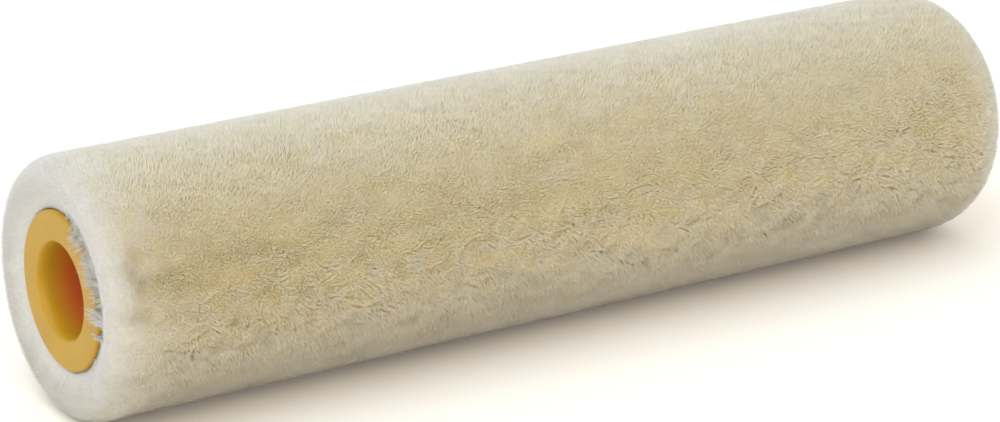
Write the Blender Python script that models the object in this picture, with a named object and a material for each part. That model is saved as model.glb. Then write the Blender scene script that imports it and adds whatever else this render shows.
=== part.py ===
"""A mini paint roller refill: a core tube, the backing and pile bonded round it, and a plug in each end.

The axis is X, and the open plug is at the -X end. Blender's units are metres, and the constants are millimetres.
"""

import math

import bmesh
import bpy

MM = 0.001

# Overall
ROLLER_LENGTH = 101.65
PILE_RADIUS = 12.25
OPEN_RECESS = 0.65
CLOSED_RECESS = 1.0
OPEN_FACE_X = -ROLLER_LENGTH / 2 + OPEN_RECESS
CLOSED_FACE_X = ROLLER_LENGTH / 2 - CLOSED_RECESS
PILE_SEGMENTS = 72
SEGMENTS = 64
FIT_GAP = 0.25

# Core tube
TUBE_OUTER_RADIUS = 7.5
TUBE_INNER_RADIUS = 6.4
TUBE_END_CHAMFER = 0.3

# Backing
BACKING_INNER_RADIUS = TUBE_OUTER_RADIUS + 0.15
BACKING_OUTER_RADIUS = 8.25
BACKING_SHORTFALL = 0.3

# Plugs: a flange that covers the end of the tube, and a finned hub pressed into it
FLANGE_RADIUS = 7.45
FLANGE_THICKNESS = 1.0
FLANGE_EDGE_FILLET = 0.3
MOUTH_RADIUS = 4.8
MOUTH_DEPTH = 1.3
THROAT_RADIUS = 4.3
HUB_RADIUS = 5.2
HUB_TIP_CHAMFER = 0.3
OPEN_HUB_LENGTH = 17.0
CLOSED_HUB_LENGTH = 14.0
SOCKET_FLOOR = 1.4
GATE_MARK_RADIUS = 1.2
GATE_MARK_DEPTH = 0.25
FIN_COUNT = 8
FIN_RADIUS = 6.2
FIN_ROOT_RADIUS = 4.8
FIN_THICKNESS = 0.9
FIN_LENGTH = 10.0
FIN_LEAD_IN = 1.6
FIN_LEAD_DROP = 0.5

# Pile ends: how far the rounding runs along the axis, and how far it comes in from the full radius.
# Inside that crest the pile slopes back to the rim of the flange, to this depth below the flange's face.
OPEN_END_RUN = 2.6
OPEN_END_DROP = 1.9
CLOSED_END_RUN = 5.1
CLOSED_END_DROP = 4.0
PILE_RIM_GAP = 0.3
PILE_RIM_DEPTH = 0.5
PILE_CORNER_STEPS = 9
PILE_LIP_STEPS = 5

CREAM = (0.80, 0.72, 0.55)
WOVEN = (0.62, 0.58, 0.50)
YELLOW = (0.86, 0.55, 0.10)
POLYPROPYLENE = (0.70, 0.70, 0.68)


def clear_scene():
    for obj in list(bpy.data.objects):
        bpy.data.objects.remove(obj, do_unlink=True)


def make_material(name, colour, roughness):
    material = bpy.data.materials.new(name)
    material.use_nodes = True
    shader = material.node_tree.nodes["Principled BSDF"]
    shader.inputs["Base Color"].default_value = (*colour, 1.0)
    shader.inputs["Roughness"].default_value = roughness
    return material


def add_object(name, mesh_data, colour, roughness):
    mesh = bpy.data.meshes.new(name)
    mesh_data.to_mesh(mesh)
    mesh_data.free()
    mesh.shade_smooth()
    mesh.set_sharp_from_angle(angle=math.radians(35))
    obj = bpy.data.objects.new(name, mesh)
    bpy.context.scene.collection.objects.link(obj)
    obj.data.materials.append(make_material(name + "_material", colour, roughness))
    return obj


def arc(centre, radii, start, end, steps):
    """Points (x, r) on an elliptical arc, with both ends included. The angles are degrees."""
    points = []
    for step in range(steps + 1):
        angle = math.radians(start + (end - start) * step / steps)
        points.append((centre[0] + radii[0] * math.cos(angle), centre[1] + radii[1] * math.sin(angle)))
    return points


def turned(outline, segments=SEGMENTS):
    """A bmesh turned round X from a closed outline of (x, r). A point with r = 0 becomes one vertex."""
    shape = bmesh.new()
    rings = []
    for x, radius in outline:
        if radius < 1e-6:
            rings.append([shape.verts.new((x * MM, 0.0, 0.0))] * segments)
            continue
        ring = []
        for step in range(segments):
            angle = 2 * math.pi * step / segments
            ring.append(shape.verts.new((x * MM, radius * math.cos(angle) * MM, radius * math.sin(angle) * MM)))
        rings.append(ring)
    for index, ring in enumerate(rings):
        following = rings[(index + 1) % len(rings)]
        if ring[0] is ring[1] and following[0] is following[1]:
            continue
        for step in range(segments):
            after = (step + 1) % segments
            corners = [ring[step], ring[after], following[after], following[step]]
            unique = list(dict.fromkeys(corners))
            shape.faces.new(unique)
    bmesh.ops.recalc_face_normals(shape, faces=shape.faces)
    return shape


def fins(face_x, inwards):
    """All the fins of one plug as prisms in one bmesh, for the plug with its outer face at face_x."""
    shape = bmesh.new()
    start = FLANGE_THICKNESS * 0.8
    tip = start + FIN_LENGTH
    side_view = [
        (start, FIN_ROOT_RADIUS),
        (start, FIN_RADIUS),
        (tip - FIN_LEAD_IN, FIN_RADIUS),
        (tip, FIN_RADIUS - FIN_LEAD_DROP),
        (tip, FIN_ROOT_RADIUS),
    ]
    for index in range(FIN_COUNT):
        angle = 2 * math.pi * (index + 0.5) / FIN_COUNT
        sides = []
        for y in (-FIN_THICKNESS / 2, FIN_THICKNESS / 2):
            corners = []
            for x, radius in side_view:
                across = y * math.cos(angle) - radius * math.sin(angle)
                up = y * math.sin(angle) + radius * math.cos(angle)
                corners.append(shape.verts.new(((face_x + inwards * x) * MM, across * MM, up * MM)))
            sides.append(corners)
            shape.faces.new(corners)
        for step in range(len(side_view)):
            after = (step + 1) % len(side_view)
            shape.faces.new((sides[0][step], sides[0][after], sides[1][after], sides[1][step]))
    bmesh.ops.recalc_face_normals(shape, faces=shape.faces)
    return shape


def union_with(obj, name, shape):
    """Adds the shape to the object with an exact union, kept as a hidden helper object."""
    mesh = bpy.data.meshes.new(name)
    shape.to_mesh(mesh)
    shape.free()
    helper = bpy.data.objects.new(name, mesh)
    bpy.context.scene.collection.objects.link(helper)
    helper.hide_render = True
    helper.display_type = "WIRE"
    modifier = obj.modifiers.new(name, "BOOLEAN")
    modifier.operation = "UNION"
    modifier.solver = "EXACT"
    modifier.object = helper


def build_core_tube():
    open_end = OPEN_FACE_X + FLANGE_THICKNESS + FIT_GAP
    closed_end = CLOSED_FACE_X - FLANGE_THICKNESS - FIT_GAP
    chamfered = TUBE_INNER_RADIUS + TUBE_END_CHAMFER
    outline = [
        (open_end, chamfered),
        (open_end, TUBE_OUTER_RADIUS),
        (closed_end, TUBE_OUTER_RADIUS),
        (closed_end, chamfered),
        (closed_end - TUBE_END_CHAMFER, TUBE_INNER_RADIUS),
        (open_end + TUBE_END_CHAMFER, TUBE_INNER_RADIUS),
    ]
    return add_object("core_tube", turned(outline), POLYPROPYLENE, 0.5)


def build_backing():
    setback = FLANGE_THICKNESS + FIT_GAP + BACKING_SHORTFALL
    open_end = OPEN_FACE_X + setback
    closed_end = CLOSED_FACE_X - setback
    outline = [
        (open_end, BACKING_INNER_RADIUS),
        (open_end, BACKING_OUTER_RADIUS),
        (closed_end, BACKING_OUTER_RADIUS),
        (closed_end, BACKING_INNER_RADIUS),
    ]
    return add_object("pile_backing", turned(outline), WOVEN, 0.9)


def pile_end(run, drop, recess):
    """One end of the pile, as (x, r) with x measured inwards from its tip.

    It goes from the full radius round to the crest, down a soft slope to the rim of the flange, and in past the
    end of the backing.
    """
    crest = PILE_RADIUS - drop
    rim = FLANGE_RADIUS + PILE_RIM_GAP
    rim_x = recess + PILE_RIM_DEPTH
    corner = arc((run, crest), (run, drop), 90, 180, PILE_CORNER_STEPS)
    slope = []
    for step in range(1, PILE_LIP_STEPS + 1):
        share = step / PILE_LIP_STEPS
        slope.append((rim_x * (1 - math.cos(math.pi * share)) / 2, crest + (rim - crest) * share))
    past_backing = recess + FLANGE_THICKNESS + BACKING_SHORTFALL
    return corner + slope + [(past_backing, rim), (past_backing, BACKING_OUTER_RADIUS + FIT_GAP)]


def build_pile():
    half = ROLLER_LENGTH / 2
    closed_end = [(half - x, radius) for x, radius in pile_end(CLOSED_END_RUN, CLOSED_END_DROP, CLOSED_RECESS)]
    open_end = [(x - half, radius) for x, radius in pile_end(OPEN_END_RUN, OPEN_END_DROP, OPEN_RECESS)]
    return add_object("pile", turned(closed_end + open_end[::-1], PILE_SEGMENTS), CREAM, 0.95)


def flange_rim():
    """The outer edge of the flange, rounded where it meets the outer face."""
    fillet = FLANGE_EDGE_FILLET
    rounded = arc((fillet, FLANGE_RADIUS - fillet), (fillet, fillet), 180, 90, 3)
    return rounded + [(FLANGE_THICKNESS, FLANGE_RADIUS)]


def hub_outside(length):
    """From the back of the flange in to the hub and along it to its tip."""
    return [
        (FLANGE_THICKNESS, HUB_RADIUS),
        (length - HUB_TIP_CHAMFER, HUB_RADIUS),
        (length, HUB_RADIUS - HUB_TIP_CHAMFER),
    ]


def open_plug_outline():
    """The plug with the bore, as (x, r) with x measured inwards from its outer face."""
    mouth = arc((MOUTH_DEPTH, MOUTH_RADIUS), (MOUTH_DEPTH, MOUTH_RADIUS - THROAT_RADIUS), 270, 180, 5)
    bore_end = [
        (OPEN_HUB_LENGTH, THROAT_RADIUS + HUB_TIP_CHAMFER),
        (OPEN_HUB_LENGTH - HUB_TIP_CHAMFER, THROAT_RADIUS),
    ]
    return mouth + flange_rim() + hub_outside(OPEN_HUB_LENGTH) + bore_end


def closed_plug_outline():
    """The plug with a plain outer face, and a socket on its inner side for the tip of the rod."""
    gate_mark = [
        (GATE_MARK_DEPTH, 0.0),
        (GATE_MARK_DEPTH, GATE_MARK_RADIUS),
        (0.0, GATE_MARK_RADIUS + GATE_MARK_DEPTH),
    ]
    socket = [
        (CLOSED_HUB_LENGTH, THROAT_RADIUS + HUB_TIP_CHAMFER),
        (CLOSED_HUB_LENGTH - HUB_TIP_CHAMFER, THROAT_RADIUS),
        (SOCKET_FLOOR, THROAT_RADIUS),
        (SOCKET_FLOOR, 0.0),
    ]
    return gate_mark + flange_rim() + hub_outside(CLOSED_HUB_LENGTH) + socket


def build_plug(name, outline, face_x, inwards):
    """Turns the plug with its outer face at face_x, and adds its fins. Inwards is 1 or -1 along X."""
    placed = [(face_x + inwards * x, radius) for x, radius in outline]
    plug = add_object(name, turned(placed), YELLOW, 0.35)
    union_with(plug, name + "_fins", fins(face_x, inwards))


clear_scene()
build_core_tube()
build_backing()
build_pile()
build_plug("end_plug_open", open_plug_outline(), OPEN_FACE_X, 1)
build_plug("end_plug_closed", closed_plug_outline(), CLOSED_FACE_X, -1)
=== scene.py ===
"""The looks of a mini paint roller refill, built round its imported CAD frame.

The plush pile is a closed mass with trimmed, gathered fibres standing out of it, and the moulded plugs are
turned again with finer edges. Blender's units are metres. The constants are millimetres unless their comment
says more.
"""

import math

import bpy
import numpy as np
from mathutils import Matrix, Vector

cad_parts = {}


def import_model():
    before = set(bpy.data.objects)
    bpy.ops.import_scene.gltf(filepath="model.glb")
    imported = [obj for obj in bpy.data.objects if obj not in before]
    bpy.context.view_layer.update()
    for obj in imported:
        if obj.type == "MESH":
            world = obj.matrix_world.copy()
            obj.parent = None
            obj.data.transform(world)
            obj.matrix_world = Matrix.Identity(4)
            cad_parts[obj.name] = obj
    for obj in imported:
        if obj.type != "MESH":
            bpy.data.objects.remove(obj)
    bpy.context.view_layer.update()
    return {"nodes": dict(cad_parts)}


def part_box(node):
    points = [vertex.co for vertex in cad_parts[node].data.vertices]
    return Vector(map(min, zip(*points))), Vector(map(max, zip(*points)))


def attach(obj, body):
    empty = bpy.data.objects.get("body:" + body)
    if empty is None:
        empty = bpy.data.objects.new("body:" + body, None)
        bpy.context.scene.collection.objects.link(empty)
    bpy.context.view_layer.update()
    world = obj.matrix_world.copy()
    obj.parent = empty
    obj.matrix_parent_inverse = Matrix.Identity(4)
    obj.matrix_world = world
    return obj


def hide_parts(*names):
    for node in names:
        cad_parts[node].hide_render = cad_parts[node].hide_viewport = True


MM = 0.001

# Ends of the pile, as in part.py: how far the rounding runs along the axis and comes in from the full radius
OPEN_END_RUN = 2.6
OPEN_END_DROP = 1.9
CLOSED_END_RUN = 5.1
CLOSED_END_DROP = 4.0
# The pile starts this far outside the flange, and this far behind the plug's face
RIM_GAP = 0.05
RIM_DEPTH = 0.35
# Points of the envelope's profile: on the slope and the rounding of each end, and on the straight middle
SLOPE_POINTS = 40
ROUNDING_POINTS = 60
MIDDLE_POINTS = 200

# Fibres: how many, in how many pieces along the axis, and how thick. Each shows only the last part of a curve
# from its root to its tip, which leaves the root mostly upright and bends at a share of its length.
FIBRE_COUNT = 900000
FIBRE_BANDS = 20
FIBRE_RADIUS = 0.055
FIBRE_RADIUS_RANGE = (0.75, 1.25)
FIBRE_SHOWN = 1.2
FIBRE_START_LEAST = 0.05
FIBRE_UPRIGHT = 0.6
FIBRE_BEND_AT = 0.55
FIBRE_BEND = 0.04
# The length of profile at each end whose roots fan out of the last of the backing
FAN_LENGTH = 11.0
# How far the longest tips stand out of the envelope, how unevenly they are cut, and how far chance shifts
# them
TIP_REACH = 0.12
TRIM_DEPTH = 0.05
STRAY_SHIFT = 0.035

# Waves of noise over the pile: their sizes along the axis and round it, and the height of each size
WAVES_PER_SIZE = 14
WAVE_STRETCH = (0.75, 1.35)
CLUMP_SIZES = ((26.0, 15.0), (8.0, 5.0), (4.5, 2.6), (2.4, 1.5))
CLUMP_SHIFTS = (0.09, 0.1, 0.07, 0.03)
LEAN_SIZES = ((3.6, 2.4), (1.9, 1.3))
LEAN_SHIFTS = (0.3, 0.19)
LUMP_SIZES = ((3.2, 1.9), (1.7, 1.0))
LUMP_HEIGHTS = (0.06, 0.045)
PATCH_HEIGHTS = (0.5, 0.5, 0.5)

# Combing, away from a line on each side that lies a little under the axis: the line's depth and the distance
# at which the combing is full are in radii, and what lies above the line is combed by a share of the shift
PARTING_LINE = 0.1
COMB_SHIFT = 0.7
COMB_FULL_AT = 0.35
COMB_ABOVE = 0.45

# The band round that line in which the pile is roughest: its half height in radii, and the strength of the
# partings, of the roots' lean and of the differences from fibre to fibre, each as its least outside the band
# and what the band adds
ROUGH_BAND = 0.4
PARTING_STRENGTH = (0.12, 1.13)
LEAN_STRENGTH = (0.08, 0.92)
UNEVENNESS = (0.25, 0.75)

# Where the lean and the shifts fade at both ends: the place, the length over which they fade, and the least
# share
LEAN_FADE = (2.5, 4.0, 0.12)
SHIFT_FADE = (2.5, 5.0, 0.08)

# Partings between the locks: how many, their length, how far each pushes the tips apart, and how far that
# reaches
PARTINGS = ((1500, 1.5, 0.11, 0.42), (5200, 0.9, 0.085, 0.24))
PARTING_TURN = 0.5
PARTING_LENGTH_RANGE = (0.3, 0.75)
PARTING_PUSH_RANGE = (0.3, 1.5)
PARTING_FULL_TO = 0.5
PARTING_FADE = 0.35

# Tone of a fibre from 0 to 1: its middle, and the most that the painted light towards both ends, the
# painted shade on the underside, patches and chance change it
TONE_MIDDLE = 0.38
TONE_PAINTED_LIGHT = 0.6
TONE_PAINTED_SHADE = 0.48
TONE_PATCHES = 0.06
TONE_CHANCE = 0.08
PAINTED_LIGHT_OPEN_END = 11.5
PAINTED_LIGHT_CLOSED_END = 6.5
CLOSED_END_SHARE = 0.75
UNDERSIDE_FROM = 0.15
UNDERSIDE_RUN = 0.9

# The least and the most that the shown fibres use of both UV coordinates
UV_LEAST = 0.02
UV_MOST = 0.98

# The dense lower mass: its grid, its depth under the envelope with lumps in it, and how it rises at both
# ends. The waves of the lumps are in radians for each metre along and in whole turns round.
MASS_ROWS = 380
MASS_COLUMNS = 256
MASS_DEPTH = 0.58
MASS_LUMPS = 0.35
MASS_WAVES = 18
MASS_WAVE_ALONG = 900
MASS_WAVE_TURNS = 24
MASS_RISE = 10.0
MASS_RISE_LEAST = 0.08
BACKING_GAP = 0.05
# How pale the mass turns at each end, as a share that the mix holds to 1: painted light, as on the fibres
MASS_PAINTED_LIGHT_OPEN = 1.1
MASS_PAINTED_LIGHT_CLOSED = 0.9

# The top of the range that a wave's start is drawn from, in radians
PHASE_RANGE = 6.28

# Even spreads of places come from a low-discrepancy sequence that steps by shares of the plastic number. The
# jitters say how far places stray from it, in steps of that spread.
PLASTIC_NUMBER = 1.324717957244746
FIBRE_JITTER = 0.5
PARTING_JITTER = 0.9
HAIR_JITTER = 1.5

# The ruffled fringe that leans over the flange of the open end, by the angle round the axis in degrees (180
# is -Y, 90 is +Z). Its roots crowd towards the rim by a power, it tapers over an angle in radians at both
# ends, and the rest are shares and directions.
FRINGE_FROM = 88.0
FRINGE_TO = 268.0
FRINGE_FIBRES = 8000
FRINGE_WIDTH = 2.0
FRINGE_CROWDING = 1.7
FRINGE_ROOT_DEPTH = 0.35
FRINGE_RADIUS = 0.05
FRINGE_RADIUS_RANGE = (0.7, 1.2)
# The fringe's tones lie in the pale range: the painted light of the open end
FRINGE_TONE_RANGE = (0.6, 0.85)
FRINGE_LENGTH = 1.05
FRINGE_LENGTH_RANGE = (0.55, 1.0)
FRINGE_WAVES = (13, 23, 37, 59)
FRINGE_WAVE_SHARE = 0.6
FRINGE_OUTER_LOSS = 0.7
FRINGE_SPARSE_FROM = 178.0
FRINGE_SPARSE_RUN = 15.0
FRINGE_SPARSE_LOSS = 0.5
FRINGE_TAPER = 0.5
FRINGE_TAPER_LEAST = 0.3
FRINGE_AXIAL = -0.85
FRINGE_INWARDS = 0.62
FRINGE_INWARDS_LOSS = 0.3
INWARDS_CHANCE = 0.1
# The height, turns and start of the waves that swing the fringe's fibres sideways
SWING_WAVES = ((0.35, 19, 1.0), (0.25, 47, 0.0))
SWING_CHANCE = 0.16

# Wisps in the fringe that reach further: the angle in degrees and the strength of each
WISPS = (
    (104, 0.4),
    (112, 0.6),
    (121, 0.5),
    (129, 0.8),
    (137, 0.6),
    (145, 0.9),
    (153, 0.5),
    (160, 1.0),
    (169, 0.6),
    (183, 1.3),
    (194, 0.9),
    (221, 0.5),
    (243, 0.4),
)
WISP_WIDTH = 3.0
WISP_LENGTH = 1.25
WISP_TONE = 0.2

# Loose hairs on the pile, in two straight parts: none lie near the ends or high on the roller
HAIR_COUNT = 500
HAIR_RADIUS = 0.035
HAIR_LENGTHS = (0.9, 2.2)
HAIR_FROM_OPEN_END = 6
HAIR_FROM_CLOSED_END = 8
HAIR_HIGHEST = 0.3
HAIR_ROOT_DEPTH = 0.25
HAIR_MIDDLE_RISE = 0.13
HAIR_TIP_RISE = 0.15
HAIR_OVERLAP = 0.04
HAIR_TURN = 0.6
HAIR_CURL = 0.3
HAIR_TONE = 0.62

# Plugs: the main sizes are as in part.py
FLANGE_THICKNESS = 1.0
FLANGE_EDGE_FILLET = 0.3
FLANGE_BACK_FILLET = 0.12
MOUTH_RADIUS = 4.8
MOUTH_DEPTH = 1.3
THROAT_RADIUS = 4.3
HUB_RADIUS = 5.2
HUB_TIP_CHAMFER = 0.3
SOCKET_FLOOR = 1.4
GATE_MARK_RADIUS = 1.2
GATE_MARK_DEPTH = 0.25
FIN_COUNT = 8
FIN_ROOT_RADIUS = 4.8
FIN_RADIUS = 6.2
FIN_THICKNESS = 0.9
FIN_LENGTH = 10.0
FIN_START = 0.8
FIN_LEAD_IN = 1.6
FIN_LEAD_DROP = 0.5
PLUG_SEGMENTS = 192
# In degrees: edges sharper than this are shaded as edges
PLUG_SHARP_ANGLE = 30
# How far behind a plug's face its yellow starts to turn orange, and where it is fully orange: painted
# shade inside the bore
BORE_SHADE_FROM = 1.2
BORE_SHADE_FULL = 3.3

# Camera: degrees, millimetres
CAMERA_AZIMUTH = -32.87
CAMERA_ELEVATION = 19.46
CAMERA_DISTANCE = 354.1
CAMERA_TARGET = (-2.68, 0.98, -1.77)
CAMERA_LENS = 132.24
CAMERA_SENSOR = 36.0

# Lights: name, azimuth and elevation in degrees, size in metres, power in watts, colour. Distances are metres
# too.
LIGHTS = (
    ("key", -75, 55, 0.9, 3.9, (0.90, 0.96, 1.0)),
    ("front", -22, 28, 0.8, 3.9, (1.0, 0.89, 0.65)),
    ("side", 95, 16, 0.8, 1.4, (1.0, 0.95, 0.86)),
    ("back", 170, 35, 0.8, 1.4, (1.0, 0.90, 0.70)),
)
LIGHT_DISTANCE = 0.9
WORLD_COLOUR = (1.0, 0.99, 0.97, 1.0)
WORLD_STRENGTH = 0.68
FLOOR_HALF_SIZE = 6.0

rng = np.random.default_rng(7)


# ---------------------------------------------------------------------------------------------- mesh helpers


def mesh_object(name, points, loops, sizes, material, smooth=True):
    """A mesh object from points (n, 3), the corner indices of every face in a row, and each face's size."""
    mesh = bpy.data.meshes.new(name)
    mesh.vertices.add(len(points))
    mesh.vertices.foreach_set("co", np.asarray(points, np.float32).ravel())
    mesh.loops.add(len(loops))
    mesh.loops.foreach_set("vertex_index", np.asarray(loops, np.int32))
    mesh.polygons.add(len(sizes))
    starts = np.concatenate([[0], np.cumsum(sizes)[:-1]]).astype(np.int32)
    mesh.polygons.foreach_set("loop_start", starts)
    mesh.polygons.foreach_set("use_smooth", np.full(len(sizes), smooth))
    mesh.update(calc_edges=True)
    mesh.validate()
    obj = bpy.data.objects.new(name, mesh)
    bpy.context.scene.collection.objects.link(obj)
    mesh.materials.append(material)
    return obj


def turned(name, outline, segments, material, sharp_angle):
    """A closed body turned round X from (x, r) points in metres. A point with r = 0 becomes one vertex."""
    points = []
    rings = []
    for x, radius in outline:
        first = len(points)
        if radius == 0:
            points.append((x, 0.0, 0.0))
            rings.append([first] * segments)
            continue
        for step in range(segments):
            angle = 2 * math.pi * step / segments
            points.append((x, radius * math.cos(angle), radius * math.sin(angle)))
        rings.append(list(range(first, first + segments)))
    loops = []
    sizes = []
    for index, ring in enumerate(rings):
        following = rings[(index + 1) % len(rings)]
        if ring[0] == ring[1] and following[0] == following[1]:
            continue
        for step in range(segments):
            after = (step + 1) % segments
            corners = (ring[step], following[step], following[after], ring[after])
            corners = list(dict.fromkeys(corners))
            loops.extend(corners)
            sizes.append(len(corners))
    obj = mesh_object(name, points, loops, sizes, material)
    turn_outwards(obj.data)
    obj.data.set_sharp_from_angle(angle=math.radians(sharp_angle))
    return obj


def signed_volume(mesh):
    """The volume inside a closed mesh, negative where its faces point inwards."""
    mesh.calc_loop_triangles()
    points = np.empty(len(mesh.vertices) * 3, np.float32)
    mesh.vertices.foreach_get("co", points)
    corners = np.empty(len(mesh.loop_triangles) * 3, np.int32)
    mesh.loop_triangles.foreach_get("vertices", corners)
    a, b, c = points.reshape(-1, 3)[corners.reshape(-1, 3)].transpose(1, 0, 2)
    return float(np.einsum("ij,ij->i", a, np.cross(b, c)).sum() / 6)


def turn_outwards(mesh):
    """Makes the faces of a closed mesh point outwards."""
    if signed_volume(mesh) < 0:
        mesh.flip_normals()


def arc(centre, radii, start, end, steps):
    """Points (x, r) on an elliptical arc, with both ends included. The angles are degrees."""
    angles = np.radians(np.linspace(start, end, steps + 1))
    return [(centre[0] + radii[0] * math.cos(a), centre[1] + radii[1] * math.sin(a)) for a in angles]


# ---------------------------------------------------------------------------------------------- materials


class Nodes:
    """A material's node tree, with short calls to add and link its nodes."""

    def __init__(self, name):
        self.material = bpy.data.materials.new(name)
        self.material.use_nodes = True
        self.tree = self.material.node_tree
        self.shader = self.tree.nodes["Principled BSDF"]

    def add(self, kind, settings=None, **inputs):
        """A new node. An input's name has _ for each space."""
        node = self.tree.nodes.new(kind)
        for key, value in (settings or {}).items():
            setattr(node, key, value)
        for key, value in inputs.items():
            node.inputs[key.replace("_", " ")].default_value = value
        return node

    def link(self, output, target):
        self.tree.links.new(output, target)

    def ramp(self, factor, stops):
        """The colour of a ramp with stops of (position, colour)."""
        node = self.add("ShaderNodeValToRGB")
        elements = node.color_ramp.elements
        while len(elements) < len(stops):
            elements.new(0.5)
        for element, (position, colour) in zip(elements, stops):
            element.position = position
            element.color = (*colour, 1.0)
        self.link(factor, node.inputs["Fac"])
        return node.outputs["Color"]

    def mix(self, blend, first, second, share=None):
        """Two colours blended, by a share of the second or in full."""
        node = self.add("ShaderNodeMix", {"data_type": "RGBA", "blend_type": blend})
        # Of this node's sockets, 0 is the factor, 6 and 7 are the two colours, and output 2 is the result
        node.inputs[0].default_value = 1.0
        if share:
            self.link(share, node.inputs[0])
        self.link(first, node.inputs[6])
        self.link(second, node.inputs[7])
        return node.outputs[2]

    def along_x(self, where, start, end, first, last):
        """A value that goes from first to last between two places on the object's X."""
        split = self.add("ShaderNodeSeparateXYZ")
        self.link(where.outputs["Object"], split.inputs["Vector"])
        node = self.add("ShaderNodeMapRange")
        limits = {"From Min": start, "From Max": end, "To Min": first, "To Max": last}
        for name, value in limits.items():
            node.inputs[name].default_value = value
        self.link(split.outputs["X"], node.inputs["Value"])
        return node.outputs["Result"]

    def set(self, **values):
        """Sets the shader's own sockets."""
        for key, value in values.items():
            self.shader.inputs[key.replace("_", " ")].default_value = value

    def bump(self, height, strength, distance):
        """Roughens the shader's normal by a height, whose full range is distance in metres."""
        node = self.add("ShaderNodeBump", Strength=strength, Distance=distance)
        self.link(height, node.inputs["Height"])
        self.link(node.outputs["Normal"], self.shader.inputs["Normal"])


def fibre_material():
    """Cream fibre: the UV's height runs from root to tip, and its width holds each fibre's tone, with the
    painted light of the ends and the painted shade of the underside in it.
    """
    nodes = Nodes("pile_fibre")
    uv = nodes.add("ShaderNodeUVMap", {"uv_map": "OFBake"})
    split = nodes.add("ShaderNodeSeparateXYZ")
    nodes.link(uv.outputs["UV"], split.inputs["Vector"])
    # Darker towards the roots: painted shade deep in the pile. Paler at the tips: partly the tips' own colour
    # and partly a painted sheen.
    tan = nodes.ramp(
        split.outputs["Y"],
        (
            (0.0, (0.68, 0.52, 0.24)),
            (0.4, (0.71, 0.545, 0.22)),
            (0.75, (0.73, 0.55, 0.19)),
            (1.0, (0.81, 0.69, 0.37)),
        ),
    )
    # The cool pale colour that high tones turn to: painted light at both ends of the roller
    pale = nodes.ramp(
        split.outputs["Y"],
        (
            (0.0, (0.72, 0.67, 0.57)),
            (0.6, (0.78, 0.775, 0.76)),
            (1.0, (0.79, 0.825, 0.885)),
        ),
    )
    share = nodes.ramp(split.outputs["X"], ((0.5, (0.0, 0.0, 0.0)), (1.0, (1.0, 1.0, 1.0))))
    both = nodes.mix("MIX", tan, pale, share)
    # Tones under the middle darken the colour, most on the underside: painted shade there
    shade = nodes.ramp(split.outputs["X"], ((0.0, (0.68, 0.54, 0.38)), (0.5, (1.0, 1.0, 1.0))))
    nodes.link(nodes.mix("MULTIPLY", both, shade), nodes.shader.inputs["Base Color"])
    nodes.set(Roughness=0.9, Specular_IOR_Level=0.05)
    nodes.set(Subsurface_Weight=1.0, Subsurface_Radius=(1.0, 0.9, 0.75), Subsurface_Scale=0.0005)
    return nodes.material


def mass_material():
    """The dense inner pile that shows between the fibres: its darker tan is painted shade deep in the pile,
    and it turns paler towards the ends, a painted light as on the fibres.
    """
    nodes = Nodes("pile_mass")
    where = nodes.add("ShaderNodeTexCoord")
    fine = nodes.add("ShaderNodeTexNoise", Scale=2600.0, Detail=4.0, Roughness=0.6)
    nodes.link(where.outputs["Object"], fine.inputs["Vector"])
    # The darker tan, like the fibres' roots: painted shade between the fibres
    colour = nodes.ramp(
        fine.outputs["Fac"],
        (
            (0.25, (0.55, 0.445, 0.24)),
            (0.55, (0.63, 0.515, 0.285)),
            (0.8, (0.70, 0.58, 0.335)),
        ),
    )
    # Paler towards the ends: painted light
    pale = nodes.ramp(fine.outputs["Fac"], ((0.25, (0.59, 0.57, 0.53)), (0.8, (0.71, 0.70, 0.69))))
    open_end, closed_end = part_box("pile")[0].x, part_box("pile")[1].x
    open_start = open_end + PAINTED_LIGHT_OPEN_END * MM
    closed_start = closed_end - PAINTED_LIGHT_CLOSED_END * MM
    open_share = nodes.along_x(where, open_start, open_end, 0.0, MASS_PAINTED_LIGHT_OPEN)
    closed_share = nodes.along_x(where, closed_start, closed_end, 0.0, MASS_PAINTED_LIGHT_CLOSED)
    share = nodes.add("ShaderNodeMath", {"operation": "ADD"})
    nodes.link(open_share, share.inputs[0])
    nodes.link(closed_share, share.inputs[1])
    nodes.link(nodes.mix("MIX", colour, pale, share.outputs["Value"]), nodes.shader.inputs["Base Color"])
    nodes.set(Roughness=0.95, Specular_IOR_Level=0.05)
    nodes.bump(fine.outputs["Fac"], 0.8, 0.0003)
    return nodes.material


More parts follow.
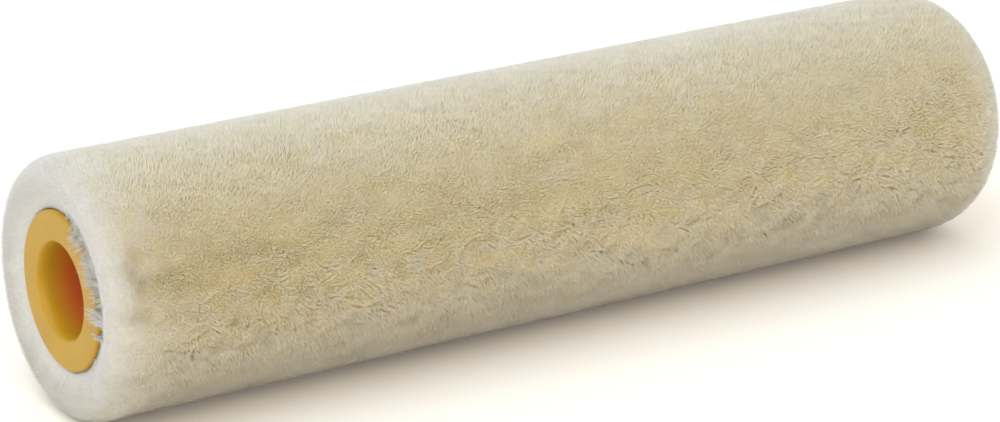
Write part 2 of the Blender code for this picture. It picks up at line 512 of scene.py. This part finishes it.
def plug_material():
    """Yellow moulded plastic: faint mottling, fine grain and a satin skin, with a deeper orange in the bore
    that is painted shade.
    """
    nodes = Nodes("yellow_moulded_plastic")
    where = nodes.add("ShaderNodeTexCoord")
    cloud = nodes.add("ShaderNodeTexNoise", Scale=260.0, Detail=3.0, Roughness=0.5)
    nodes.link(where.outputs["Object"], cloud.inputs["Vector"])
    yellow = nodes.ramp(cloud.outputs["Fac"], ((0.3, (0.435, 0.250, 0.012)), (0.7, (0.475, 0.280, 0.015))))
    orange = nodes.ramp(cloud.outputs["Fac"], ((0.3, (0.60, 0.135, 0.034)), (0.7, (0.64, 0.150, 0.038))))
    open_face, closed_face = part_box("end_plug_open")[0].x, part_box("end_plug_closed")[1].x
    # The deeper orange behind each face is painted shade inside the bore
    depth = nodes.add("ShaderNodeMath", {"operation": "MINIMUM"})
    for socket, face, inwards in ((0, open_face, 1), (1, closed_face, -1)):
        start, full = face + inwards * BORE_SHADE_FROM * MM, face + inwards * BORE_SHADE_FULL * MM
        nodes.link(nodes.along_x(where, start, full, 0.0, 1.0), depth.inputs[socket])
    nodes.link(nodes.mix("MIX", yellow, orange, depth.outputs["Value"]), nodes.shader.inputs["Base Color"])
    grain = nodes.add("ShaderNodeTexNoise", Scale=3200.0, Detail=5.0, Roughness=0.65)
    nodes.link(where.outputs["Object"], grain.inputs["Vector"])
    rough = nodes.add("ShaderNodeMapRange")
    rough.inputs["To Min"].default_value = 0.28
    rough.inputs["To Max"].default_value = 0.46
    nodes.link(grain.outputs["Fac"], rough.inputs["Value"])
    nodes.link(rough.outputs["Result"], nodes.shader.inputs["Roughness"])
    nodes.bump(grain.outputs["Fac"], 0.12, 0.00005)
    nodes.set(Specular_IOR_Level=0.28)
    nodes.set(Subsurface_Weight=0.25, Subsurface_Radius=(0.0012, 0.0006, 0.0002), Subsurface_Scale=1.0)
    return nodes.material


def tube_material():
    """Extruded core tube: pale grey plastic with faint draw lines along it."""
    nodes = Nodes("core_tube_plastic")
    where = nodes.add("ShaderNodeTexCoord")
    stretch = nodes.add("ShaderNodeMapping")
    stretch.inputs["Scale"].default_value = (0.03, 1.0, 1.0)
    nodes.link(where.outputs["Object"], stretch.inputs["Vector"])
    lines = nodes.add("ShaderNodeTexNoise", Scale=2400.0, Detail=3.0, Roughness=0.5)
    nodes.link(stretch.outputs["Vector"], lines.inputs["Vector"])
    colour = nodes.ramp(lines.outputs["Fac"], ((0.3, (0.55, 0.55, 0.53)), (0.7, (0.66, 0.66, 0.64))))
    nodes.link(colour, nodes.shader.inputs["Base Color"])
    nodes.set(Roughness=0.45)
    nodes.bump(lines.outputs["Fac"], 0.2, 0.00005)
    return nodes.material


def backing_material():
    """Plain woven backing: two sets of fine yarns crossing, with a darker brown between them."""
    nodes = Nodes("woven_backing")
    where = nodes.add("ShaderNodeTexCoord")
    yarns = []
    for direction in ("X", "Y"):
        wave = nodes.add(
            "ShaderNodeTexWave",
            {"wave_type": "BANDS", "bands_direction": direction},
            Scale=420.0,
            Distortion=0.6,
            Detail=1.0,
        )
        nodes.link(where.outputs["Object"], wave.inputs["Vector"])
        yarns.append(wave.outputs["Fac"])
    over = nodes.add("ShaderNodeMath", {"operation": "MAXIMUM"})
    nodes.link(yarns[0], over.inputs[0])
    nodes.link(yarns[1], over.inputs[1])
    colour = nodes.ramp(over.outputs["Value"], ((0.2, (0.32, 0.26, 0.18)), (0.8, (0.62, 0.57, 0.47))))
    nodes.link(colour, nodes.shader.inputs["Base Color"])
    nodes.set(Roughness=0.9)
    nodes.bump(over.outputs["Value"], 0.6, 0.0001)
    return nodes.material


# ---------------------------------------------------------------------------------------------- the pile


class Envelope:
    """The trimmed outside of the pile, as a profile that runs from rim to rim over both ends."""

    def __init__(self):
        low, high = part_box("pile")
        self.low = low.x
        self.high = high.x
        self.radius = high.z
        open_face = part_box("end_plug_open")[0].x
        closed_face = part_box("end_plug_closed")[1].x
        self.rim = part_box("end_plug_open")[1].z + RIM_GAP * MM
        open_end = self.end_profile(OPEN_END_RUN * MM, OPEN_END_DROP * MM, open_face - self.low)
        closed_end = self.end_profile(CLOSED_END_RUN * MM, CLOSED_END_DROP * MM, self.high - closed_face)
        first = np.array([(self.low + depth, radius) for depth, radius in open_end])
        last = np.array([(self.high - depth, radius) for depth, radius in closed_end[::-1]])
        middle_x = np.linspace(first[-1, 0], last[0, 0], MIDDLE_POINTS + 2)[1:-1]
        middle = np.stack([middle_x, np.full(MIDDLE_POINTS, self.radius)], 1)
        profile = np.concatenate([first, middle, last])
        steps = np.linalg.norm(np.diff(profile, axis=0), axis=1)
        self.s = np.concatenate([[0.0], np.cumsum(steps)])
        self.profile = profile
        tangent = np.gradient(profile, self.s, axis=0)
        self.tangent = tangent / np.linalg.norm(tangent, axis=1)[:, None]
        self.length = self.s[-1]
        area = np.concatenate([[0.0], np.cumsum(steps * (profile[1:, 1] + profile[:-1, 1]) / 2)])
        self.share = area / area[-1]

    def end_profile(self, run, drop, recess):
        """(depth, radius) from the flange's rim up a soft slope to the crest, and round to full radius."""
        crest = self.radius - drop
        share = np.linspace(0, 1, SLOPE_POINTS)
        depth = (recess + RIM_DEPTH * MM) * (1 + np.cos(np.pi * share)) / 2
        radius = self.rim + (crest - self.rim) * share
        angle = np.linspace(0, math.pi / 2, ROUNDING_POINTS)[1:]
        depth = np.concatenate([depth, run * (1 - np.cos(angle))])
        radius = np.concatenate([radius, crest + drop * np.sin(angle)])
        return list(zip(depth, radius))

    def section(self, s):
        """x, radius and the outward normal (x, radial) at places along the profile."""
        x = np.interp(s, self.s, self.profile[:, 0])
        radius = np.interp(s, self.s, self.profile[:, 1])
        along_x = np.interp(s, self.s, self.tangent[:, 0])
        along_r = np.interp(s, self.s, self.tangent[:, 1])
        return x, radius, -along_r, along_x

    def points(self, s, angle, depth):
        """Points that lie depth under the envelope."""
        x, radius, normal_x, normal_r = self.section(s)
        x = x - normal_x * depth
        radius = radius - normal_r * depth
        return np.stack([x, radius * np.cos(angle), radius * np.sin(angle)], 1)


def spread(envelope, count, jitter):
    """Places (s, angle) spread evenly over the envelope's area, with some jitter."""
    index = np.arange(count)
    step = 1 / PLASTIC_NUMBER
    first = (index * step + 0.5) % 1.0
    second = (index * step**2 + 0.5) % 1.0
    scale = jitter / math.sqrt(count)
    first = np.clip(first + rng.normal(0, scale, count), 0.0, 1.0)
    second = (second + rng.normal(0, scale, count)) % 1.0
    return np.interp(first, envelope.share, envelope.s), second * 2 * math.pi


def ripples(envelope, s, angle, sizes, heights):
    """Smooth noise over the envelope: waves of about each size (along, round) in mm, and each height."""
    total = np.zeros(len(s))
    for (along, around), height in zip(sizes, heights):
        height = height * math.sqrt(2 / WAVES_PER_SIZE)
        for _ in range(WAVES_PER_SIZE):
            heading = rng.uniform(0, math.pi)
            stretch = rng.uniform(*WAVE_STRETCH)
            wave = 2 * math.pi * math.cos(heading) / (along * stretch * MM)
            turns = round(2 * math.pi * math.sin(heading) * envelope.radius / (around * stretch * MM))
            phase = rng.uniform(0, 2 * math.pi)
            total += height * np.sin(s * wave + angle * turns + phase)
    return total


def comb(angle):
    """How far fibres lean round the axis, from -1 to 1: up above the line on each side, down below it."""
    height = np.sin(angle) + PARTING_LINE
    below = np.minimum(-height / COMB_FULL_AT, 1.0)
    above = -COMB_ABOVE * np.minimum(height / COMB_FULL_AT, 1.0)
    return -np.cos(angle) * np.where(height < 0, below, above)


def in_band(angle, strength):
    """An effect's strength: its least high and low on the roller, and more near each side's line."""
    least, more = strength
    return least + more * np.exp(-(((np.sin(angle) + PARTING_LINE) / ROUGH_BAND) ** 2))


def away_from_ends(envelope, s, start, run, least):
    """A share that is least at both ends of the profile, and rises to 1 over run millimetres from start."""
    from_end = np.minimum(s, envelope.length - s) / MM
    return np.clip((from_end - start) / run, least, 1)


def partings(envelope, s, angle, count, length, push, reach):
    """How far the tips are pushed along and round, in metres, by short partings mostly along the axis."""
    along, around = np.zeros(len(s)), np.zeros(len(s))
    order = np.argsort(s)
    sorted_s = s[order]
    middle_s, middle_angle = spread(envelope, count, PARTING_JITTER)
    heading = rng.normal(0, PARTING_TURN, count)
    half = length * MM * rng.uniform(*PARTING_LENGTH_RANGE, count)
    height = push * MM * rng.uniform(*PARTING_PUSH_RANGE, count) * in_band(middle_angle, PARTING_STRENGTH)
    reach = reach * MM
    for index in range(count):
        limit = half[index] + 3 * reach
        low, high = np.searchsorted(sorted_s, (middle_s[index] - limit, middle_s[index] + limit))
        near = order[low:high]
        radius = np.interp(middle_s[index], envelope.s, envelope.profile[:, 1])
        turn = (angle[near] - middle_angle[index] + math.pi) % (2 * math.pi) - math.pi
        close = np.abs(turn) * radius < limit
        near, turn = near[close], turn[close]
        down, across = s[near] - middle_s[index], turn * radius
        cosine, sine = math.cos(heading[index]), math.sin(heading[index])
        lengthwise = np.abs(down * cosine + across * sine) / half[index]
        sideways = across * cosine - down * sine
        ends = np.exp(-((np.maximum(lengthwise - PARTING_FULL_TO, 0) / PARTING_FADE) ** 2))
        fade = ends * np.exp(-np.abs(sideways) / reach)
        shift = height[index] * fade * np.sign(sideways)
        along[near] -= shift * sine
        around[near] += shift * cosine
    return along, around


def roots_of(envelope, s, angle):
    """Where each fibre leaves the backing: below its tip, but fanned out of the backing's ends."""
    low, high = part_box("pile_backing")
    x = envelope.section(s)[0].copy()
    fan = FAN_LENGTH * MM
    for from_end, limit_s, edge, inside in (
        (s, fan, low.x, 1.0),
        (envelope.length - s, envelope.length - fan, high.x, -1.0),
    ):
        reach = abs(np.interp(limit_s, envelope.s, envelope.profile[:, 0]) - edge)
        near = from_end < fan
        share = np.clip(from_end[near] / fan, 0.0, 1.0)
        x[near] = edge + inside * reach * share ** (fan / reach)
    strength = in_band(angle, LEAN_STRENGTH) * away_from_ends(envelope, s, *LEAN_FADE) * MM
    x += ripples(envelope, s, angle, LEAN_SIZES, LEAN_SHIFTS) * strength
    x = np.clip(x, low.x, high.x)
    angle = angle + ripples(envelope, s, angle, LEAN_SIZES, LEAN_SHIFTS) * strength / envelope.radius
    return np.stack([x, high.z * np.cos(angle), high.z * np.sin(angle)], 1)


def tip_shifts(envelope, s, angle, uneven):
    """How far each tip is carried along and round by clumps, chance, combing and partings, in metres."""
    shifts = []
    for _ in range(2):
        clumps = ripples(envelope, s, angle, CLUMP_SIZES, CLUMP_SHIFTS)
        shifts.append((clumps + rng.normal(0, STRAY_SHIFT, len(s)) * uneven) * MM)
    along, around = shifts
    around += COMB_SHIFT * MM * comb(angle)
    for parting in PARTINGS:
        more_along, more_around = partings(envelope, s, angle, *parting)
        along += more_along
        around += more_around
    return along, around


def trim_depths(envelope, s, angle, free, uneven):
    """How deep under the envelope each tip is cut, in metres, negative where it stands out of it."""
    lumps = ripples(envelope, s, angle, LUMP_SIZES, LUMP_HEIGHTS)
    cut = np.abs(rng.normal(0, TRIM_DEPTH, len(s))) + np.maximum(lumps, 0) * free
    return (cut * uneven - TIP_REACH) * MM


def fibre_tones(envelope, s, angle, uneven):
    """Each fibre's tone: darker underneath, a painted shade, and paler towards both ends, a painted light."""
    patches = ripples(envelope, s, angle, CLUMP_SIZES[1:], PATCH_HEIGHTS)
    from_closed_end = envelope.length - s
    # Painted light: the tone rises towards both ends
    painted_light = np.clip(1 - s / (PAINTED_LIGHT_OPEN_END * MM), 0, 1)
    painted_light = painted_light + CLOSED_END_SHARE * np.clip(1 - from_closed_end / (PAINTED_LIGHT_CLOSED_END * MM), 0, 1)
    # Painted shade: the tone falls towards the underside, away from the ends
    under = np.clip((UNDERSIDE_FROM - np.sin(angle)) / UNDERSIDE_RUN, 0, 1) * np.clip(1 - painted_light, 0, 1)
    chance = rng.normal(0, TONE_CHANCE, len(s)) * uneven
    return TONE_MIDDLE + TONE_PAINTED_LIGHT * painted_light - TONE_PAINTED_SHADE * under + TONE_PATCHES * patches + chance


def shown_starts(roots, tips):
    """Where the shown part of each fibre starts, on the curve from its root to its tip."""
    length = np.linalg.norm(tips - roots, axis=1)
    up = roots.copy()
    up[:, 0] = 0.0
    up /= np.linalg.norm(up, axis=1)[:, None]
    straight = (tips - roots) / length[:, None]
    heading = up * FIBRE_UPRIGHT + straight * (1 - FIBRE_UPRIGHT)
    control = roots + heading * (FIBRE_BEND_AT * length)[:, None]
    t = np.clip(1 - FIBRE_SHOWN * MM / length, FIBRE_START_LEAST, 1.0)[:, None]
    starts = (1 - t) ** 2 * roots + 2 * (1 - t) * t * control + t**2 * tips
    return starts + rng.normal(0, FIBRE_BEND * MM, starts.shape)


def fibre_mesh(name, start, end, radius, tone, material):
    """Closed three-sided spikes from start to end, with a UV of (tone, root to tip)."""
    count = len(start)
    direction = end - start
    direction /= np.linalg.norm(direction, axis=1)[:, None]
    across = np.cross(direction, rng.normal(size=(count, 3)))
    across /= np.linalg.norm(across, axis=1)[:, None]
    other = np.cross(direction, across)
    corners = []
    for step in range(3):
        turn = 2 * math.pi * step / 3
        corners.append(start + (math.cos(turn) * across + math.sin(turn) * other) * radius[:, None])
    points = np.stack([*corners, end], 1).reshape(-1, 3)
    # The root's face, then the three sides, which meet at corner 3, the tip
    pattern = np.array([2, 1, 0, 0, 1, 3, 1, 2, 3, 2, 0, 3])
    loops = (np.arange(count)[:, None] * 4 + pattern).ravel()
    obj = mesh_object(name, points, loops, np.full(count * 4, 3), material)
    height = np.where(pattern == 3, UV_MOST, UV_LEAST)
    tone = np.repeat(np.clip(tone, UV_LEAST, UV_MOST), len(pattern))
    uv = np.stack([tone, np.tile(height, count)], 1)
    # The hidden root faces of the first two fibres cover the whole map, so that a bake fills it
    uv[:3] = ((0, 0), (1, 0), (0, 1))
    uv[len(pattern) : len(pattern) + 3] = ((1, 1), (0, 1), (1, 0))
    layer = obj.data.uv_layers.new(name="OFBake")
    layer.data.foreach_set("uv", uv.astype(np.float32).ravel())
    return obj


def grow_pile(envelope, material):
    """All the standing fibres, as one mesh for each band along the axis."""
    s, angle = spread(envelope, FIBRE_COUNT, FIBRE_JITTER)
    roots = roots_of(envelope, s, angle)
    radius = envelope.section(s)[1]
    free = away_from_ends(envelope, s, *SHIFT_FADE)
    uneven = in_band(angle, UNEVENNESS)
    along, around = tip_shifts(envelope, s, angle, uneven)
    depth = trim_depths(envelope, s, angle, free, uneven)
    tone = fibre_tones(envelope, s, angle, uneven)
    tip_s = np.clip(s + along * free, 0.0, envelope.length)
    tips = envelope.points(tip_s, angle + around * free / radius, depth)
    starts = shown_starts(roots, tips)
    thickness = FIBRE_RADIUS * MM * rng.uniform(*FIBRE_RADIUS_RANGE, FIBRE_COUNT)
    pieces = []
    bands = np.array_split(np.argsort(roots[:, 0], kind="stable"), FIBRE_BANDS)
    for number, band in enumerate(bands, 1):
        name = f"pile_fibres_{number:02d}"
        pieces.append(fibre_mesh(name, starts[band], tips[band], thickness[band], tone[band], material))
    return pieces


def fringe_lengths(angle, outwards, wisp, taper):
    """The length of each fibre of the fringe in millimetres: wavy, sparse low down, and longer in a wisp."""
    wander = sum(np.sin(angle * turns + rng.uniform(0, PHASE_RANGE)) for turns in FRINGE_WAVES)
    wander = wander / len(FRINGE_WAVES)
    length = FRINGE_LENGTH * (1 + FRINGE_WAVE_SHARE * wander) * (1 - FRINGE_OUTER_LOSS * outwards)
    sparse = np.clip((np.degrees(angle) - FRINGE_SPARSE_FROM) / FRINGE_SPARSE_RUN, 0, 1)
    length *= 1 - FRINGE_SPARSE_LOSS * sparse
    length = length + WISP_LENGTH * wisp * (1 - outwards)
    return length * taper * rng.uniform(*FRINGE_LENGTH_RANGE, FRINGE_FIBRES)


def grow_fringe(envelope, material):
    """Loose fibres between the rim and the crest of the open end, which lean in over the flange."""
    angle = np.radians(rng.uniform(FRINGE_FROM, FRINGE_TO, FRINGE_FIBRES))
    edge = np.minimum(angle - math.radians(FRINGE_FROM), math.radians(FRINGE_TO) - angle)
    taper = np.clip(edge / FRINGE_TAPER, FRINGE_TAPER_LEAST, 1)
    outwards = rng.uniform(0, 1, FRINGE_FIBRES) ** FRINGE_CROWDING
    starts = envelope.points(outwards * FRINGE_WIDTH * MM, angle, FRINGE_ROOT_DEPTH * MM)
    wisp = np.zeros(FRINGE_FIBRES)
    for middle, extra in WISPS:
        wisp += extra * np.exp(-(((np.degrees(angle) - middle) / WISP_WIDTH) ** 2))
    length = fringe_lengths(angle, outwards, wisp, taper)
    swing = sum(height * np.sin(angle * turns + phase) for height, turns, phase in SWING_WAVES)
    swing = swing + rng.normal(0, SWING_CHANCE, FRINGE_FIBRES)
    chance = rng.normal(0, INWARDS_CHANCE, FRINGE_FIBRES)
    inwards = (FRINGE_INWARDS - FRINGE_INWARDS_LOSS * outwards + chance) * taper
    along = np.full(FRINGE_FIBRES, FRINGE_AXIAL)
    cosine, sine = np.cos(angle), np.sin(angle)
    lean = np.stack([along, -inwards * cosine - swing * sine, -inwards * sine + swing * cosine], 1)
    lean /= np.linalg.norm(lean, axis=1)[:, None]
    tips = starts + lean * (length * MM)[:, None]
    thickness = FRINGE_RADIUS * MM * rng.uniform(*FRINGE_RADIUS_RANGE, FRINGE_FIBRES)
    tone = rng.uniform(*FRINGE_TONE_RANGE, FRINGE_FIBRES) + WISP_TONE * np.minimum(wisp, 1)
    return fibre_mesh("pile_fringe", starts, tips, thickness, tone, material)


def grow_strays(envelope, material):
    """Single longer hairs that lie loosely on the pile."""
    s, angle = spread(envelope, HAIR_COUNT, HAIR_JITTER)
    clear = (s > HAIR_FROM_OPEN_END * MM) & (envelope.length - s > HAIR_FROM_CLOSED_END * MM)
    clear &= np.sin(angle) < HAIR_HIGHEST
    s, angle = s[clear], angle[clear]
    count = len(s)
    length = rng.uniform(*HAIR_LENGTHS, count) * MM
    heading = math.pi / 2 * np.sign(comb(angle)) + rng.normal(0, HAIR_TURN, count)
    starts = envelope.points(s, angle, HAIR_ROOT_DEPTH * MM)
    middle_s = s + 0.5 * length * np.cos(heading)
    middle_angle = angle + 0.5 * length * np.sin(heading) / envelope.radius
    tip_s = s + length * np.cos(heading + rng.normal(0, HAIR_CURL, count))
    tip_angle = angle + length * np.sin(heading) / envelope.radius
    middles = envelope.points(middle_s, middle_angle, -HAIR_MIDDLE_RISE * MM)
    tips = envelope.points(tip_s, tip_angle, -HAIR_TIP_RISE * MM)
    thickness = np.full(2 * count, HAIR_RADIUS * MM)
    upper_starts = middles + (middles - tips) * HAIR_OVERLAP
    tone = np.full(2 * count, HAIR_TONE)
    starts, ends = np.concatenate([starts, upper_starts]), np.concatenate([middles, tips])
    return fibre_mesh("pile_stray_hairs", starts, ends, thickness, tone, material)


def build_mass(envelope, material):
    """The dense lower pile: a closed, lumpy skin under the tips, shut by the backing."""
    rows = np.linspace(0.0, envelope.length, MASS_ROWS)
    angle = np.linspace(0, 2 * math.pi, MASS_COLUMNS, endpoint=False)
    grid_s, grid_angle = np.meshgrid(rows, angle, indexing="ij")
    flat_s, flat_angle = grid_s.ravel(), grid_angle.ravel()
    lumps = np.zeros(len(flat_s))
    for _ in range(MASS_WAVES):
        along = rng.uniform(-MASS_WAVE_ALONG, MASS_WAVE_ALONG)
        around = rng.integers(-MASS_WAVE_TURNS, MASS_WAVE_TURNS + 1)
        phase = rng.uniform(0, PHASE_RANGE)
        lumps += np.sin(flat_s * along + flat_angle * around + phase) / MASS_WAVES
    from_end = np.minimum(flat_s, envelope.length - flat_s)
    near_end = np.clip(from_end / (MASS_RISE * MM), MASS_RISE_LEAST, 1.0)
    depth = (MASS_DEPTH + MASS_LUMPS * lumps) * MM * near_end
    outside = envelope.points(flat_s, flat_angle, depth)
    backing_low, backing_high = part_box("pile_backing")
    inner_radius = backing_high.z + BACKING_GAP * MM
    inner_y, inner_z = inner_radius * np.cos(angle), inner_radius * np.sin(angle)
    inner = []
    for x in (backing_high.x, backing_low.x):
        inner.append(np.stack([np.full(MASS_COLUMNS, x), inner_y, inner_z], 1))
    points = np.concatenate([outside, *inner])
    first = np.arange((MASS_ROWS + 2) * MASS_COLUMNS).reshape(MASS_ROWS + 2, MASS_COLUMNS)
    second = np.roll(first, -1, axis=0)
    corners = [first, second, np.roll(second, -1, axis=1), np.roll(first, -1, axis=1)]
    quads = np.stack(corners, -1).reshape(-1, 4)
    obj = mesh_object("pile_mass", points, quads.ravel(), np.full(len(quads), 4), material)
    turn_outwards(obj.data)
    return obj


# ---------------------------------------------------------------------------------------------- the plugs


def plug_outline(length, socketed):
    """(x, r) in metres with x measured inwards from the plug's outer face."""
    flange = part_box("end_plug_open")[1].z / MM
    fillet = FLANGE_EDGE_FILLET
    rim = arc((fillet, flange - fillet), (fillet, fillet), 180, 90, 8)
    back = FLANGE_BACK_FILLET
    back_edge = arc((FLANGE_THICKNESS - back, flange - back), (back, back), 90, 0, 4)
    hub = [
        (FLANGE_THICKNESS, HUB_RADIUS),
        (length - HUB_TIP_CHAMFER, HUB_RADIUS),
        (length, HUB_RADIUS - HUB_TIP_CHAMFER),
        (length, THROAT_RADIUS + HUB_TIP_CHAMFER),
        (length - HUB_TIP_CHAMFER, THROAT_RADIUS),
    ]
    if socketed:
        gate = GATE_MARK_DEPTH
        gate_edge = arc((gate, GATE_MARK_RADIUS + gate), (gate, gate), 270, 180, 6)
        face = [(gate, 0.0), (gate, GATE_MARK_RADIUS), *gate_edge]
        hollow = [(SOCKET_FLOOR, THROAT_RADIUS), (SOCKET_FLOOR, 0.0)]
    else:
        face = arc((MOUTH_DEPTH, MOUTH_RADIUS), (MOUTH_DEPTH, MOUTH_RADIUS - THROAT_RADIUS), 270, 180, 16)
        hollow = []
    outline = face + rim + back_edge + hub + hollow
    return [(x * MM, radius * MM) for x, radius in outline]


def build_plug(name, node, face_x, inwards, length, socketed, material):
    """A plug and its fins, which stand for one CAD node. inwards is the way in along X, 1 or -1."""
    outline = [(face_x + inwards * x, radius) for x, radius in plug_outline(length, socketed)]
    plug = turned(name, outline, PLUG_SEGMENTS, material, PLUG_SHARP_ANGLE)
    fins = build_fins(name + "_fins", face_x, inwards, material)
    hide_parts(node)
    for piece in (plug, fins):
        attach(piece, "root")


def build_fins(name, face_x, inwards, material):
    """The grip fins round the hub, which bed in the core tube."""
    tip = FIN_START + FIN_LENGTH
    side_view = [
        (FIN_START, FIN_ROOT_RADIUS),
        (FIN_START, FIN_RADIUS),
        (tip - FIN_LEAD_IN, FIN_RADIUS),
        (tip, FIN_RADIUS - FIN_LEAD_DROP),
        (tip, FIN_ROOT_RADIUS),
    ]
    count = len(side_view)
    points, loops, sizes = [], [], []
    for index in range(FIN_COUNT):
        angle = 2 * math.pi * (index + 0.5) / FIN_COUNT
        first = len(points)
        for y in (-FIN_THICKNESS / 2, FIN_THICKNESS / 2):
            for x, radius in side_view:
                across = y * math.cos(angle) - radius * math.sin(angle)
                up = y * math.sin(angle) + radius * math.cos(angle)
                points.append((face_x + inwards * x * MM, across * MM, up * MM))
        loops.extend(range(first, first + count))
        loops.extend(range(first + 2 * count - 1, first + count - 1, -1))
        sizes.extend((count, count))
        for step in range(count):
            after = (step + 1) % count
            loops.extend((first + after, first + step, first + count + step, first + count + after))
            sizes.append(4)
    obj = mesh_object(name, points, loops, sizes, material, smooth=False)
    turn_outwards(obj.data)
    return obj


# ---------------------------------------------------------------------------------------------- the stage


def build_floor(height):
    """A large pale sweep of floor, not part of the object."""
    nodes = Nodes("studio_floor")
    where = nodes.add("ShaderNodeTexCoord")
    cloud = nodes.add("ShaderNodeTexNoise", Scale=6.0, Detail=2.0)
    nodes.link(where.outputs["Object"], cloud.inputs["Vector"])
    colour = nodes.ramp(cloud.outputs["Fac"], ((0.3, (0.93, 0.925, 0.91)), (0.7, (0.95, 0.945, 0.93))))
    nodes.link(colour, nodes.shader.inputs["Base Color"])
    nodes.set(Roughness=0.9, Specular_IOR_Level=0.1)
    nodes.set(Emission_Color=(1.0, 1.0, 1.0, 1.0), Emission_Strength=0.08)
    size = FLOOR_HALF_SIZE
    corners = [(-size, -size, height), (size, -size, height), (size, size, height), (-size, size, height)]
    floor = mesh_object("floor", corners, [0, 1, 2, 3], [4], nodes.material, smooth=False)


def area_light(name, azimuth, elevation, size, power, colour):
    """A square soft light that faces the object. The angles are as the camera's."""
    data = bpy.data.lights.new(name, "AREA")
    data.shape = "SQUARE"
    data.size = size
    data.energy = power
    data.color = colour
    light = bpy.data.objects.new(name, data)
    bpy.context.scene.collection.objects.link(light)
    direction = direction_of(azimuth, elevation)
    light.location = direction * LIGHT_DISTANCE
    light.rotation_euler = direction.to_track_quat("Z", "Y").to_euler()


def direction_of(azimuth, elevation):
    """The unit vector towards an azimuth and elevation in degrees. Azimuth 0 is -Y, and 90 is +X."""
    a, e = math.radians(azimuth), math.radians(elevation)
    return Vector((math.sin(a) * math.cos(e), -math.cos(a) * math.cos(e), math.sin(e)))


def build_lights():
    """An even pale world with soft lights in front, and weaker ones at the side and behind."""
    world = bpy.data.worlds.new("studio")
    bpy.context.scene.world = world
    world.use_nodes = True
    background = world.node_tree.nodes["Background"]
    background.inputs["Color"].default_value = WORLD_COLOUR
    background.inputs["Strength"].default_value = WORLD_STRENGTH
    for light in LIGHTS:
        area_light(*light)


def build_camera():
    """A long lens that looks down on the open end from the left."""
    data = bpy.data.cameras.new("camera")
    data.lens = CAMERA_LENS
    data.sensor_width = CAMERA_SENSOR
    data.clip_start = 0.01
    camera = bpy.data.objects.new("camera", data)
    bpy.context.scene.collection.objects.link(camera)
    direction = direction_of(CAMERA_AZIMUTH, CAMERA_ELEVATION)
    camera.location = Vector(CAMERA_TARGET) * MM + direction * CAMERA_DISTANCE * MM
    camera.rotation_euler = direction.to_track_quat("Z", "Y").to_euler()
    bpy.context.scene.camera = camera


# ---------------------------------------------------------------------------------------------- the scene


def main():
    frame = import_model()
    envelope = Envelope()

    mass = build_mass(envelope, mass_material())
    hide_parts("pile")
    fibre = fibre_material()
    standing = grow_pile(envelope, fibre)
    fringe = grow_fringe(envelope, fibre)
    strays = grow_strays(envelope, fibre)
    for piece in (mass, *standing, fringe, strays):
        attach(piece, "root")

    plastic = plug_material()
    open_low, open_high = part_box("end_plug_open")
    closed_low, closed_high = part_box("end_plug_closed")
    open_length = (open_high.x - open_low.x) / MM
    closed_length = (closed_high.x - closed_low.x) / MM
    build_plug("plug_open", "end_plug_open", open_low.x, 1, open_length, False, plastic)
    build_plug("plug_closed", "end_plug_closed", closed_high.x, -1, closed_length, True, plastic)

    for node, material in (("core_tube", tube_material()), ("pile_backing", backing_material())):
        slots = frame["nodes"][node].data.materials
        slots.clear()
        slots.append(material)

    build_floor(-envelope.radius)
    build_lights()
    build_camera()
    bpy.context.scene.view_settings.view_transform = "Standard"


main()
